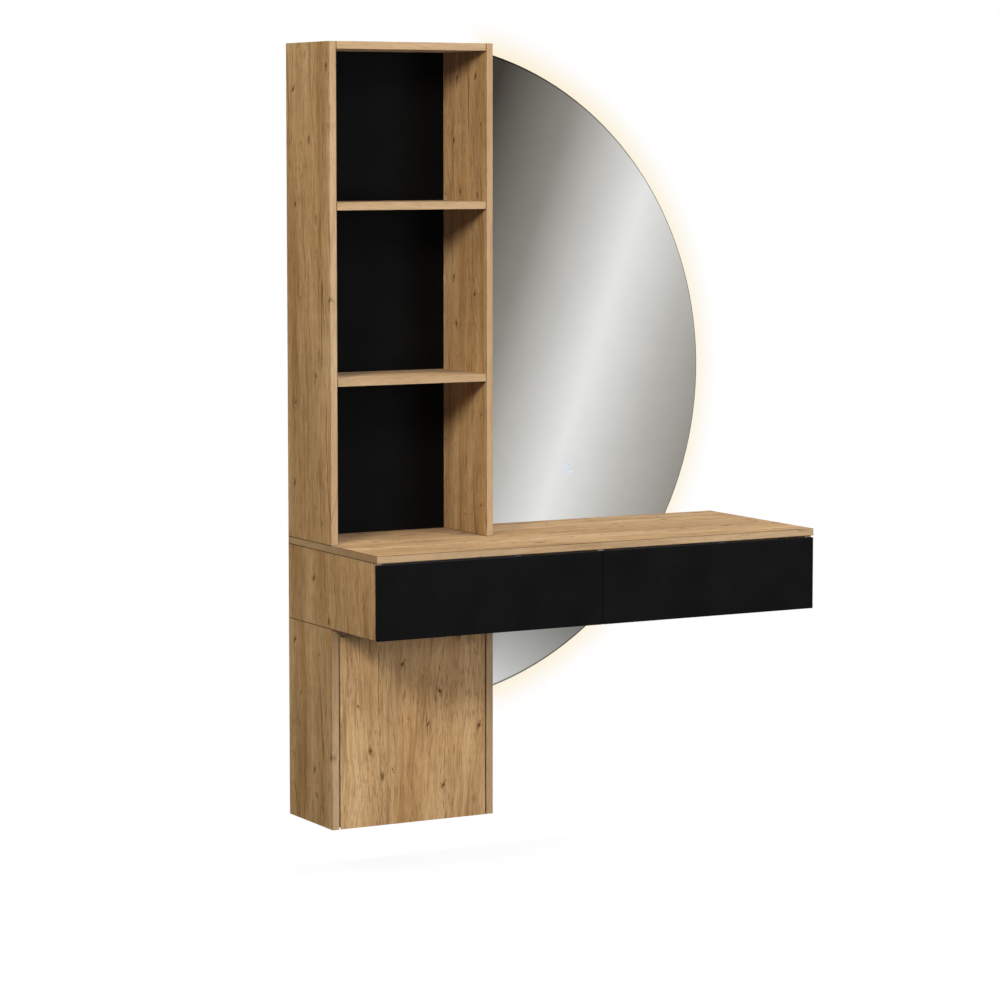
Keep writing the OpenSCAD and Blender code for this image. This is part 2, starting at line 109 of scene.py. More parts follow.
def vector_maths(tree, operation, a, b, output="Vector"):
    return add(tree, "ShaderNodeVectorMath", {0: a, 1: b}, operation=operation).outputs[output]


def length(tree, vector):
    return vector_maths(tree, "LENGTH", vector, ORIGIN, "Value")


def along_axis(tree, vector, axis):
    """How far a vector goes along an axis."""
    return vector_maths(tree, "DOT_PRODUCT", vector, axis, "Value")


def combine(tree, x, y, z=0.0):
    return add(tree, "ShaderNodeCombineXYZ", {"X": x, "Y": y, "Z": z}).outputs[0]


def separate(tree, vector):
    return add(tree, "ShaderNodeSeparateXYZ", {"Vector": vector}).outputs


def noise(tree, vector, detail=2.0, roughness=0.5, dimensions="2D", distortion=0.0):
    sockets = {"Vector": vector, "Scale": 1.0, "Detail": detail, "Roughness": roughness,
               "Distortion": distortion}
    return add(tree, "ShaderNodeTexNoise", sockets, noise_dimensions=dimensions).outputs["Fac"]


def solid_noise(tree, place, waves, detail=2.0, roughness=0.6):
    """Noise in space with so many waves a metre: one number, or one for each axis."""
    waves = waves if isinstance(waves, tuple) else (waves,) * 3
    return noise(tree, vector_maths(tree, "MULTIPLY", place, waves), detail, roughness, "3D")


def spread(tree, value, low, high, to_low=0.0, to_high=1.0, smooth=False):
    """value from low to high becomes to_low to to_high, and is held outside."""
    kind = "SMOOTHSTEP" if smooth else "LINEAR"
    sockets = {"Value": value, "From Min": low, "From Max": high, "To Min": to_low, "To Max": to_high}
    return add(tree, "ShaderNodeMapRange", sockets, interpolation_type=kind).outputs[0]


def mix(tree, factor, a, b, blend="MIX"):
    """Two colours mixed. A mix node's colour sockets have no names of their own, only numbers."""
    factor_socket, a_socket, b_socket, result_socket = 0, 6, 7, 2
    made = add(tree, "ShaderNodeMix", data_type="RGBA", blend_type=blend)
    for socket, value in ((factor_socket, factor), (a_socket, a), (b_socket, b)):
        if isinstance(value, bpy.types.NodeSocket):
            tree.links.new(value, made.inputs[socket])
        else:
            made.inputs[socket].default_value = value if socket == factor_socket else (*value[:3], 1.0)
    return made.outputs[result_socket]


def mix_vectors(tree, factor, a, b):
    """One of two vectors. A mix node's vector sockets have only numbers too."""
    factor_socket, a_socket, b_socket, result_socket = 0, 4, 5, 1
    made = add(tree, "ShaderNodeMix", {factor_socket: factor, a_socket: a, b_socket: b},
               data_type="VECTOR")
    return made.outputs[result_socket]


def mix_shaders(tree, factor, a, b):
    return add(tree, "ShaderNodeMixShader", {0: factor, 1: a.outputs[0], 2: b.outputs[0]})


def ramp(tree, factor, stops):
    made = add(tree, "ShaderNodeValToRGB", {"Fac": factor})
    elements = made.color_ramp.elements
    while len(elements) < len(stops):
        elements.new(1.0)
    for element, (place, colour) in zip(elements, stops):
        element.position = place
        element.color = (*colour, 1.0)
    return made.outputs["Color"]


# Noise seldom leaves this range
NOISE_LOW = 0.3
NOISE_HIGH = 0.7


def vary(tree, texture, to_low, to_high):
    """A value that follows a noise."""
    return spread(tree, texture, NOISE_LOW, NOISE_HIGH, to_low, to_high)


def tint(tree, texture, dark, pale):
    """A colour that follows a noise."""
    return ramp(tree, texture, ((NOISE_LOW, dark), (NOISE_HIGH, pale)))


def shaded(colour, factor):
    return tuple(part * factor for part in colour)


def srgb(red, green, blue):
    """A linear colour from 0-255 display values."""
    return tuple((c / 255 / 12.92) if c < 11 else ((c / 255 + 0.055) / 1.055) ** 2.4
                 for c in (red, green, blue))


def material(name):
    made = bpy.data.materials.new(name)
    made.use_nodes = True
    made.node_tree.nodes.clear()
    return made, made.node_tree


def object_place(tree):
    return add(tree, "ShaderNodeTexCoord").outputs["Object"]


def surface(tree, shader):
    """Ends a material in a shader."""
    tree.links.new(shader.outputs[0], add(tree, "ShaderNodeOutputMaterial").inputs["Surface"])


def principled(tree, sockets, height, depth):
    """Ends a material in a Principled shader, with a bump of depth metres from height."""
    bump = add(tree, "ShaderNodeBump", {"Height": height, "Distance": depth, "Strength": 1.0})
    surface(tree, add(tree, "ShaderNodeBsdfPrincipled", {**sockets, "Normal": bump.outputs[0]}))


# ---- Oak decor ------------------------------------------------------------------------------
OAK_LIGHT = srgb(206, 171, 125)
OAK_MID = srgb(191, 154, 107)
OAK_DARK = srgb(168, 129, 84)
OAK_GREY = srgb(160, 130, 94)
OAK_STREAK = srgb(114, 76, 41)
OAK_KNOT = srgb(72, 45, 25)
OAK_BANDS = ((0.28, OAK_DARK), (0.48, OAK_MID), (0.70, OAK_LIGHT))
OAK_SPECULAR = 0.18
OAK_ROUGH = (0.5, 0.66)
FLECK_ROUGHENS = 0.12
OAK_RELIEF = 0.12 * MM

# The edge banding is plainer and greyer than the faces
OAK_EDGE = srgb(204, 172, 128)
EDGE_SHADE = (0.76, 0.78, 0.86)
EDGE_COVER = 0.35
EDGE_PLAINER = 0.3

# A layer of the pattern: its waves a metre across and along the grain, where in the endless
# pattern it is taken, its noise, and the noise where its marks start and are at full strength
Layer = namedtuple("Layer", "across along taken detail roughness distortion starts full strength",
                   defaults=(2.0, 0.5, 0.0, 0.0, 1.0, 1.0))
WANDER = Layer(3.5, 1.6, 3.1)
RIPPLE = Layer(24.0, 9.0, 1.7)
BROAD_BANDS = Layer(16.0, 1.3, 0.3, detail=3.0)
GREY_PARTS = Layer(13.0, 1.6, 5.9, starts=0.50, full=0.74, strength=0.4)
STREAKS = Layer(85.0, 4.5, 2.2, detail=4.0, roughness=0.62, starts=0.50, full=0.72, strength=0.32)
FIBRES = Layer(300.0, 16.0, 8.4, detail=3.0, roughness=0.65, starts=0.48, full=0.72, strength=0.34)
FLECK_PATCHES = Layer(17.0, 6.5, 6.3, starts=0.47, full=0.66)
FLECKS = Layer(170.0, 42.0, 4.4, detail=3.0, roughness=0.6, distortion=0.4, starts=0.53, full=0.68,
               strength=0.46)
PORES = Layer(430.0, 26.0, 9.7, roughness=0.6, starts=0.57, full=0.66, strength=0.45)
CRACK_CONTOURS = Layer(13.0, 0.8, 7.7, detail=1.0, roughness=0.3)
CRACK_LENGTHS = Layer(16.0, 6.0, 2.9, detail=1.0, starts=0.42, full=0.56, strength=0.8)
VEINS = Layer(60.0, 3.2, 6.1, starts=0.60, full=0.70, strength=0.38)
KNOT_RIMS = Layer(260.0, 150.0, 1.1)
BETWEEN_PATCHES = 0.12
TAKEN_ALONG = 2.7

# How far the grain is carried sideways in metres, a knot's push as a share of the distance to it,
# and where in the lattice's cell that push ends
WANDER_REACH = 0.06
RIPPLE_REACH = 0.006
KNOT_PUSH = -0.45
KNOT_PUSH_ENDS = 0.35

# Cracks lie within this much of a contour's level; fully dark, then gone
CRACK_LEAN = math.radians(3.0)
CRACK_CORE = 0.0015
CRACK_RIM = 0.0055

# Knots: the pitch of their lattice, the range of chance that makes small to full ones, and for
# smudge and heart the half width and half length, and the fade from one reach to another
KNOT_PITCH = (0.085, 0.15, 1.0)
KNOT_LEANS = 1.5
KNOT_RAGGED = 1.6
KNOT_SIZES = (0.15, 0.75, 0.05, 1.0)
SMUDGE = (7.5 * MM, 15 * MM, 1.0)
SMUDGE_FADE = (0.2, 1.0, 0.75, 0.0)
HEART = (3.3 * MM, 5.5 * MM, 1.0)
HEART_FADE = (0.5, 1.0, 0.85, 0.0)

# Painted shade in the closed joints, standing in for the shadow in their grooves: its width, strength and
# colour
PAINTED_JOINT_SHADE_WIDTH = 1.4 * MM
PAINTED_JOINT_SHADE_STRENGTH = 0.8
PAINTED_JOINT_SHADE_COLOUR = srgb(34, 22, 12)

# Which axes are across and along a grain, how far apart the boards lie in the pattern, and how
# much of a face's normal lies on an axis that it faces
ACROSS_AND_ALONG = {"X": ((0, 1, 1), (1, 0, 0)), "Y": ((1, 0, 1), (0, 1, 0)), "Z": ((1, 1, 0), (0, 0, 1))}
CUT_PITCH = (1.7, 3.9)
FACING = 0.7
FRONT = (0, 1, 0)
LEVEL = (0, 0, 1)


def layer_noise(tree, place, layer):
    """A layer's noise, where place is metres across the grain (x) and along it (y)."""
    moved = vector_maths(tree, "ADD", place, (layer.taken, TAKEN_ALONG * layer.taken, 0.0))
    waves = vector_maths(tree, "MULTIPLY", moved, (layer.across, layer.along, 0.0))
    return noise(tree, waves, layer.detail, layer.roughness, distortion=layer.distortion)


def marks(tree, texture, layer, smooth=False):
    """How strong a layer's marks are where its noise has a value."""
    return spread(tree, texture, layer.starts, layer.full, 0.0, layer.strength, smooth)


def knot_cells(tree, place):
    """A loose lattice of knots: metres to the nearest, its own random numbers, and its distance."""
    lattice = vector_maths(tree, "DIVIDE", place, KNOT_PITCH)
    cells = add(tree, "ShaderNodeTexVoronoi", {"Vector": lattice, "Scale": 1.0, "Randomness": 1.0},
                voronoi_dimensions="2D", feature="F1").outputs
    away = vector_maths(tree, "SUBTRACT", lattice, cells["Position"])
    away = vector_maths(tree, "MULTIPLY", away, KNOT_PITCH)
    chance = add(tree, "ShaderNodeSeparateColor", {"Color": cells["Color"]}).outputs
    return away, chance, cells["Distance"]


def spot(tree, away, chance, size, half_widths, ragged):
    """An oval mark at a knot, leaning its own way: 0 at its heart, 1 at its rim."""
    lean = centred(tree, chance["Green"], KNOT_LEANS)
    turned = add(tree, "ShaderNodeVectorRotate", {"Vector": away, "Angle": lean}, rotation_type="Z_AXIS")
    oval = vector_maths(tree, "DIVIDE", turned.outputs[0], half_widths)
    return maths(tree, "DIVIDE", maths(tree, "ADD", length(tree, oval), ragged), size)


def grain_flow(tree, place, away, distance):
    """The grain wanders, ripples and flows round the knots."""
    near = spread(tree, distance, 0.0, KNOT_PUSH_ENDS, 1.0, 0.0, smooth=True)
    shift = product(tree, separate(tree, away)["X"], near, KNOT_PUSH)
    for layer, reach in ((WANDER, WANDER_REACH), (RIPPLE, RIPPLE_REACH)):
        shift = maths(tree, "ADD", shift, centred(tree, layer_noise(tree, place, layer), reach))
    return vector_maths(tree, "ADD", place, combine(tree, shift, 0.0))


def grain_tone(tree, flow, plain):
    """Broad bands, streaks and fibres. Also gives the fibres' noise and how dark they are."""
    tone = ramp(tree, layer_noise(tree, flow, BROAD_BANDS), OAK_BANDS)
    tone = mix(tree, marks(tree, layer_noise(tree, flow, GREY_PARTS), GREY_PARTS), tone, OAK_GREY)
    streak = marks(tree, layer_noise(tree, flow, STREAKS), STREAKS)
    tone = mix(tree, product(tree, streak, plain), tone, OAK_STREAK)
    fibres = layer_noise(tree, flow, FIBRES)
    fibre = product(tree, marks(tree, fibres, FIBRES), plain)
    return mix(tree, fibre, tone, OAK_STREAK), fibres, fibre


def with_flecks(tree, tone, place, flow, plain):
    """Short dark flecks that gather in patches, and pores. Also gives the flecks' strength."""
    patches = spread(tree, layer_noise(tree, place, FLECK_PATCHES), FLECK_PATCHES.starts,
                     FLECK_PATCHES.full, BETWEEN_PATCHES, 1.0, smooth=True)
    fleck = product(tree, marks(tree, layer_noise(tree, flow, FLECKS), FLECKS), patches, plain)
    tone = mix(tree, fleck, tone, OAK_STREAK)
    pore = product(tree, marks(tree, layer_noise(tree, flow, PORES), PORES), plain)
    return mix(tree, pore, tone, OAK_STREAK), fleck


def with_cracks(tree, tone, place, flow, plain):
    """Hairline cracks, which are broken contours of the long grain, and veins. Also the cracks."""
    leaning = add(tree, "ShaderNodeVectorRotate", {"Vector": flow, "Angle": CRACK_LEAN},
                  rotation_type="Z_AXIS").outputs[0]
    contour = layer_noise(tree, leaning, CRACK_CONTOURS)
    line = maths(tree, "ABSOLUTE", maths(tree, "SUBTRACT", contour, 0.5))
    line = spread(tree, line, CRACK_CORE, CRACK_RIM, 1.0, 0.0)
    kept = marks(tree, layer_noise(tree, place, CRACK_LENGTHS), CRACK_LENGTHS)
    crack = product(tree, line, kept, plain)
    tone = mix(tree, crack, tone, OAK_KNOT)
    vein = marks(tree, layer_noise(tree, leaning, VEINS), VEINS, smooth=True)
    return mix(tree, product(tree, vein, plain), tone, OAK_STREAK), crack


def with_knots(tree, tone, place, away, chance, plain):
    """Knots with a dark heart and a smudge, some of the lattice's cells having next to none."""
    size = spread(tree, chance["Red"], *KNOT_SIZES)
    ragged = centred(tree, layer_noise(tree, place, KNOT_RIMS), KNOT_RAGGED)
    smudge = spread(tree, spot(tree, away, chance, size, SMUDGE, ragged), *SMUDGE_FADE, smooth=True)
    tone = mix(tree, product(tree, smudge, plain), tone, OAK_STREAK)
    heart = spread(tree, spot(tree, away, chance, size, HEART, ragged), *HEART_FADE)
    return mix(tree, product(tree, heart, plain), tone, OAK_KNOT)


def oak_group():
    """Flat-sawn oak decor. Its vector is metres across the grain (x) and along it (y)."""
    tree = bpy.data.node_groups.new("oak_decor", "ShaderNodeTree")
    tree.interface.new_socket("Vector", in_out="INPUT", socket_type="NodeSocketVector")
    tree.interface.new_socket("Edge", in_out="INPUT", socket_type="NodeSocketFloat")
    for name, kind in (("Color", "NodeSocketColor"), ("Roughness", "NodeSocketFloat"),
                       ("Height", "NodeSocketFloat")):
        tree.interface.new_socket(name, in_out="OUTPUT", socket_type=kind)
    given = add(tree, "NodeGroupInput")
    place, edge = given.outputs["Vector"], given.outputs["Edge"]
    plain = maths(tree, "SUBTRACT", 1.0, maths(tree, "MULTIPLY", edge, EDGE_PLAINER))

    away, chance, distance = knot_cells(tree, place)
    flow = grain_flow(tree, place, away, distance)
    tone, fibres, fibre = grain_tone(tree, flow, plain)
    tone, fleck = with_flecks(tree, tone, place, flow, plain)
    tone, crack = with_cracks(tree, tone, place, flow, plain)
    tone = with_knots(tree, tone, place, away, chance, plain)
    tone = mix(tree, maths(tree, "MULTIPLY", edge, EDGE_COVER), tone, OAK_EDGE)
    tone = mix(tree, edge, tone, EDGE_SHADE, "MULTIPLY")

    rougher = maths(tree, "MULTIPLY", fleck, FLECK_ROUGHENS)
    rough = maths(tree, "ADD", vary(tree, fibres, *OAK_ROUGH), rougher)
    height = maths(tree, "SUBTRACT", 1.0, maths(tree, "ADD", fibre, maths(tree, "ADD", fleck, crack)))
    result = add(tree, "NodeGroupOutput")
    for name, value in (("Color", tone), ("Roughness", rough), ("Height", height)):
        tree.links.new(value, result.inputs[name])
    return tree


OAK = oak_group()


def grain_vector(tree, place, axis):
    """Metres across and along a grain that runs along one axis."""
    across, along = ACROSS_AND_ALONG[axis]
    return combine(tree, along_axis(tree, place, across), along_axis(tree, place, along))


def facing(tree, axis):
    """1 on faces whose normal runs along the axis, in the board's own frame."""
    normal = add(tree, "ShaderNodeTexCoord").outputs["Normal"]
    turned = maths(tree, "ABSOLUTE", along_axis(tree, normal, axis))
    return maths(tree, "GREATER_THAN", turned, FACING)


def painted_shade_at(tree, value, painted_shade_joints):
    """Painted shade of a closed joint, where a coordinate is at one of the joints."""
    found = 0.0
    for joint in painted_shade_joints:
        away = maths(tree, "ABSOLUTE", maths(tree, "SUBTRACT", value, joint))
        line = spread(tree, away, PAINTED_JOINT_SHADE_WIDTH / 2, PAINTED_JOINT_SHADE_WIDTH, PAINTED_JOINT_SHADE_STRENGTH, 0.0)
        found = maths(tree, "MAXIMUM", found, line)
    return found


def painted_joint_shade(tree, place, in_tower):
    """Painted shade lines on upright faces where the tower, desk and cabinet meet, and in the tower's front.
    """
    at = separate(tree, place)
    levels = (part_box("desk_top")[1].z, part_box("desk_top")[0].z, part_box("cabinet_top")[1].z)
    upright = maths(tree, "SUBTRACT", 1.0, facing(tree, LEVEL))
    found = maths(tree, "MULTIPLY", painted_shade_at(tree, at["Z"], levels), upright)
    if in_tower:
        sides = (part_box("tower_left_side")[1].x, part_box("tower_right_side")[0].x)
        corners = maths(tree, "MULTIPLY", painted_shade_at(tree, at["X"], sides), facing(tree, FRONT))
        found = maths(tree, "MAXIMUM", found, corners)
    return found


def oak(name, grain, cut, banded):
    """Oak decor with its grain along one axis, taken from its own part of the sheet (cut)."""
    made, tree = material("oak_" + name)
    place = object_place(tree)
    at_end = facing(tree, ACROSS_AND_ALONG[grain][1])
    laid = mix_vectors(tree, at_end, grain_vector(tree, place, grain), grain_vector(tree, place, "Y"))
    laid = vector_maths(tree, "ADD", laid, (CUT_PITCH[0] * cut, CUT_PITCH[1] * cut, 0.0))
    look = add(tree, "ShaderNodeGroup", node_tree=OAK)
    tree.links.new(laid, look.inputs["Vector"])
    if banded:
        edge = maths(tree, "MAXIMUM", facing(tree, FRONT), at_end)
        tree.links.new(edge, look.inputs["Edge"])
    # Painted shade along the joints darkens the oak where boards meet
    painted_shade_joints = painted_joint_shade(tree, place, name.startswith("tower"))
    colour = mix(tree, painted_shade_joints, look.outputs["Color"], PAINTED_JOINT_SHADE_COLOUR)
    principled(tree, {"Base Color": colour, "Roughness": look.outputs["Roughness"],
                      "Specular IOR Level": OAK_SPECULAR}, look.outputs["Height"], OAK_RELIEF)
    return made


# ---- Other finishes -------------------------------------------------------------------------
MATT_SPECULAR = 0.035
MATT_CLOUDED = (0.8, 1.25)
PEARL_RELIEF = 0.05 * MM
LINEN_RELIEF = 0.08 * MM
WOOD_RELIEF = 0.1 * MM
DRAWN_RELIEF = 0.02 * MM
SPARKED_RELIEF = 0.03 * MM
SMOOTH_RELIEF = 0.02 * MM
LINEN = (700.0, 120.0, 700.0)
DRAWN_LINES = (40.0, 900.0, 900.0)
TRAY_LINES = (30.0, 30.0, 600.0)
GROWTH_LINES = (160.0, 3.0, 0.0)
WOOD_FIBRES = (900.0, 25.0, 0.0)
SILVER = ((0.90, 0.91, 0.90), (0.94, 0.945, 0.935))
MIRROR_RIM = 1.8 * MM
RIM_DARK = 0.7
RIM_TONE = (0.05, 0.055, 0.055)


def matt_black(name, level, rough):
    """Black melamine: a fine pearl texture with faint cloudiness."""
    made, tree = material(name)
    place = object_place(tree)
    cloud = solid_noise(tree, place, 9.0, detail=3.0)
    pearl = solid_noise(tree, place, 900.0)
    dark, pale = ((level * part,) * 3 for part in MATT_CLOUDED)
    roughness = vary(tree, cloud, rough - 0.05, rough + 0.05)
    principled(tree, {"Base Color": tint(tree, cloud, dark, pale), "Roughness": roughness,
                      "Specular IOR Level": MATT_SPECULAR}, pearl, PEARL_RELIEF)
    return made


def melamine(name, colour):
    """Plain board for the drawer boxes, with a light linen emboss."""
    made, tree = material(name)
    place = object_place(tree)
    weave = solid_noise(tree, place, LINEN, detail=3.0)
    cloud = solid_noise(tree, place, 6.0, roughness=0.5)
    principled(tree, {"Base Color": tint(tree, cloud, shaded(colour, 0.93), colour),
                      "Roughness": vary(tree, weave, 0.42, 0.55)}, weave, LINEN_RELIEF)
    return made


def bare_wood(name, pale, dark, grain):
    """Plain softwood or beech with growth lines along the grain."""
    made, tree = material(name)
    place = grain_vector(tree, object_place(tree), grain)
    lines = noise(tree, vector_maths(tree, "MULTIPLY", place, GROWTH_LINES), detail=3.0, roughness=0.6)
    fibres = noise(tree, vector_maths(tree, "MULTIPLY", place, WOOD_FIBRES), roughness=0.6)
    colour = ramp(tree, lines, ((0.32, dark), (0.62, pale)))
    colour = mix(tree, spread(tree, fibres, 0.45, 0.75, 0.0, 0.35), colour, dark)
    principled(tree, {"Base Color": colour, "Roughness": vary(tree, fibres, 0.55, 0.75)},
               fibres, WOOD_RELIEF)
    return made


def metal(name, colour, rough, drawn=DRAWN_LINES, mottle=0.12):
    """Plated or painted sheet metal: fine drawing lines, faint mottling."""
    made, tree = material(name)
    place = object_place(tree)
    lines = solid_noise(tree, place, drawn)
    spots = solid_noise(tree, place, 60.0, detail=3.0)
    worn = vary(tree, lines, rough - 0.05, rough + 0.06)
    roughness = maths(tree, "ADD", worn, spread(tree, spots, 0.4, 0.7, 0.0, 0.06))
    principled(tree, {"Base Color": tint(tree, spots, shaded(colour, 1.0 - mottle), colour),
                      "Roughness": roughness, "Metallic": 1.0}, lines, DRAWN_RELIEF)
    return made


def plastic(name, colour, rough):
    """Moulded plastic with a spark-eroded grain."""
    made, tree = material(name)
    place = object_place(tree)
    grain = solid_noise(tree, place, 1400.0)
    wear = solid_noise(tree, place, 90.0, detail=3.0)
    principled(tree, {"Base Color": tint(tree, wear, shaded(colour, 0.88), colour),
                      "Roughness": vary(tree, grain, rough - 0.06, rough + 0.06)}, grain, SPARKED_RELIEF)
    return made


def glowing(name, colour, strength, unlit):
    """A lit diffuser: opal surface whose glow shifts faintly from one colour to the other."""
    made, tree = material(name)
    bands = solid_noise(tree, object_place(tree), 25.0, roughness=0.5)
    glow = mix(tree, vary(tree, bands, 0.0, 0.25), colour, unlit)
    principled(tree, {"Base Color": glow, "Roughness": vary(tree, bands, 0.35, 0.5),
                      "Emission Color": glow, "Emission Strength": strength}, bands, SMOOTH_RELIEF)
    return made


def mirror_circle():
    """Centre and radius of the mirror's round edge, from the glass."""
    low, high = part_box("mirror_glass")
    radius = (high.z - low.z) / 2
    return Vector((high.x - radius, high.y, (low.z + high.z) / 2)), radius


def from_mirror_centre(tree, place):
    """Metres from the axis of the mirror's round edge."""
    away = vector_maths(tree, "SUBTRACT", place, tuple(mirror_circle()[0]))
    return length(tree, vector_maths(tree, "MULTIPLY", away, (1.0, 0.0, 1.0)))


def mirror_silver():
    """Float-glass mirror: silvering with barely visible waviness and cleaning haze, and a dark rim."""
    made, tree = material("mirror_silver")
    place = object_place(tree)
    wave = solid_noise(tree, place, 3.0, roughness=0.5)
    haze = solid_noise(tree, place, 14.0, detail=4.0)
    silver = tint(tree, haze, *SILVER)
    radius = mirror_circle()[1]
    reach = from_mirror_centre(tree, place)
    rim = spread(tree, reach, radius - MIRROR_RIM, radius - MIRROR_RIM / 2, 0.0, RIM_DARK)
    silver = mix(tree, rim, silver, RIM_TONE)
    roughness = spread(tree, haze, 0.45, 0.75, 0.015, 0.035)
    principled(tree, {"Base Color": silver, "Roughness": roughness, "Metallic": 1.0},
               wave, SMOOTH_RELIEF)
    return made


# ---- Putting the finishes on the boards and fittings ----------------------------------------
GRAIN_UP = ("tower_left_side", "tower_right_side", "cabinet_left_side", "cabinet_right_side",
            "desk_left_end", "desk_right_end", "door_panel", "cabinet_back")
GRAIN_ALONG = ("tower_top", "tower_upper_shelf", "tower_lower_shelf", "desk_top", "desk_bottom",
               "desk_back", "cabinet_top", "cabinet_bottom", "cabinet_shelf")
GRAIN_DEEP = ("desk_divider",)
UNBANDED = ("door_panel", "cabinet_back", "desk_back")
DRAWER_FRONTS = ("left_drawer_front", "right_drawer_front")
DRAWER_BOARDS = ("drawer_sides", "drawer_back", "drawer_bottom")
BOARD_BLACK = 0.0042
FRONT_BLACK = 0.0050
BOARD_EDGE = 1.2 * MM
FRONT_EDGE = 1.0 * MM
SAME_POINT = 0.01 * MM
ARRIS_ANGLE = math.radians(50)
WARM_WHITE = (1.0, 0.86, 0.64)
MARK_GLOW = (0.29, 0.33, 0.37)
MARK_UNLIT = (0.31, 0.34, 0.37)
STRIP_UNLIT = (1.0, 0.95, 0.85)
DIFFUSER_UNLIT = (1.0, 0.92, 0.78)


def soften(node, width, segments):
    """Rounds a board's arrises."""
    weld = node.modifiers.new("weld", "WELD")
    weld.merge_threshold = SAME_POINT
    bevel = node.modifiers.new("arris", "BEVEL")
    bevel.width = width
    bevel.segments = segments
    bevel.limit_method = "ANGLE"
    bevel.angle_limit = ARRIS_ANGLE
    bevel.use_clamp_overlap = True


def dress(node, finish):
    node.data.materials.clear()
    node.data.materials.append(finish)


def dress_boards():
    grains = [(name, "Z") for name in GRAIN_UP]
    grains += [(name, "X") for name in GRAIN_ALONG]
    grains += [(name, "Y") for name in GRAIN_DEEP]
    for cut, (name, grain) in enumerate(grains, 1):
        dress(NODES[name], oak(name, grain, cut, name not in UNBANDED))
        soften(NODES[name], BOARD_EDGE, segments=2)
    dress(NODES["tower_back_panel"], matt_black("black_board", BOARD_BLACK, rough=0.55))
    front = matt_black("black_front", FRONT_BLACK, rough=0.45)
    for name in DRAWER_FRONTS:
        dress(NODES[name], front)
        soften(NODES[name], FRONT_EDGE, segments=3)


def names_ending(*endings):
    return [name for name in NODES if name.endswith(endings)]


def metal_fittings():
    """Metal finishes and the nodes they go on."""
    return {
        metal("zinc_plate", srgb(196, 198, 200), rough=0.32): [
            "shelf_pins", "cam_locks", "cam_bolts", "connector_bolts",
            "mirror_hang_rail", "mirror_wall_rail"],
        metal("runner_plate", srgb(104, 106, 108), rough=0.42): [
            name for name in NODES if "_runner_" in name and "drawer" not in name],
        metal("black_zinc", srgb(42, 42, 43), rough=0.45): [
            "desk_brackets", "pivot_plates", "door_strike_plate"],
        metal("tray_paint", srgb(205, 206, 207), rough=0.42, drawn=TRAY_LINES, mottle=0.06): ["mirror_tray"],
    }


def wood_and_plastic_fittings():
    """Wood, board and plastic finishes and the nodes they go on."""
    return {
        melamine("drawer_board", srgb(58, 58, 60)): names_ending(*DRAWER_BOARDS),
        bare_wood("softwood", srgb(222, 190, 142), srgb(186, 146, 96), "X"): [
            "wall_cleats", "board_cleats", "cabinet_spacer"],
        bare_wood("beech", srgb(214, 178, 138), srgb(182, 140, 100), "X"): ["dowels"],
        plastic("black_plastic", srgb(34, 34, 35), rough=0.42): [
            "latch_housings", "door_bushes", *names_ending("_plunger")],
        plastic("rubber", srgb(26, 26, 27), rough=0.7): ["supply_grommet"],
        plastic("driver_case", srgb(232, 232, 228), rough=0.4): ["led_driver"],
        plastic("sensor_board", srgb(26, 74, 52), rough=0.4): ["touch_sensor"],
    }


def mirror_fittings():
    """The mirror's silver and its lit parts, and the nodes they go on."""
    return {
        mirror_silver(): ["mirror_glass"],
        glowing("led_strip", WARM_WHITE, strength=3.0, unlit=STRIP_UNLIT): ["led_strip"],
        glowing("led_diffuser", WARM_WHITE, strength=4.0, unlit=DIFFUSER_UNLIT): ["led_diffuser"],
        glowing("touch_icon", MARK_GLOW, strength=0.9, unlit=MARK_UNLIT): ["touch_icon"],
    }


def dress_fittings():
    finishes = {**metal_fittings(), **wood_and_plastic_fittings(), **mirror_fittings()}
    for finish, names in finishes.items():
        for name in names:
            dress(NODES[name], finish)


# ---- Stage ----------------------------------------------------------------------------------
FLOOR_UNDER_CABINET = 0.13
WALL_BEHIND = 1 * MM
ROOM = 30.0
FLOOR_TONES = ((0.86, 0.86, 0.86), (0.9, 0.9, 0.9))
FLOOR_GLOW = 1.02
FLOOR_GLOW_SHARE = 0.92

# The halo is painted light of the mirror's lamps on the wall: it reaches past the glass, falls off
# by a power, and starts clear of the tower's edge by so many reaches
HALO_REACH = 0.085
HALO_FALL = 1.4
HALO_STARTS = 0.8
HALO_FULL = 1.7
PAINTED_HALO_TONE = srgb(251, 235, 202)


def sheet_object(name, corners):
    data = bpy.data.meshes.new(name)
    data.from_pydata(corners, [], [(0, 1, 2, 3)])
    made = bpy.data.objects.new(name, data)
    bpy.context.scene.collection.objects.link(made)
    return made


def wall_material():
    """White wall with the mirror's warm halo painted on as glow. From behind it is clear, so the back can be
    seen.
    """
    made, tree = material("wall")
    place = object_place(tree)
    radius = mirror_circle()[1]
    # Painted light: the halo fades out from the glass's edge and is kept clear of the tower
    painted_halo = spread(tree, from_mirror_centre(tree, place), radius, radius + HALO_REACH, 1.0, 0.0)
    tower_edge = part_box("tower_right_side")[1].x
    starts, full = (tower_edge + part * HALO_REACH for part in (HALO_STARTS, HALO_FULL))
    painted_halo_side = spread(tree, separate(tree, place)["X"], starts, full, smooth=True)
    painted_halo = maths(tree, "MULTIPLY", maths(tree, "POWER", painted_halo, HALO_FALL), painted_halo_side)
    colour = mix(tree, painted_halo, WHITE, PAINTED_HALO_TONE)
    glow = add(tree, "ShaderNodeEmission", {"Color": colour, "Strength": 1.0})
    behind = add(tree, "ShaderNodeNewGeometry").outputs["Backfacing"]
    surface(tree, mix_shaders(tree, behind, glow, add(tree, "ShaderNodeBsdfTransparent")))
    return made


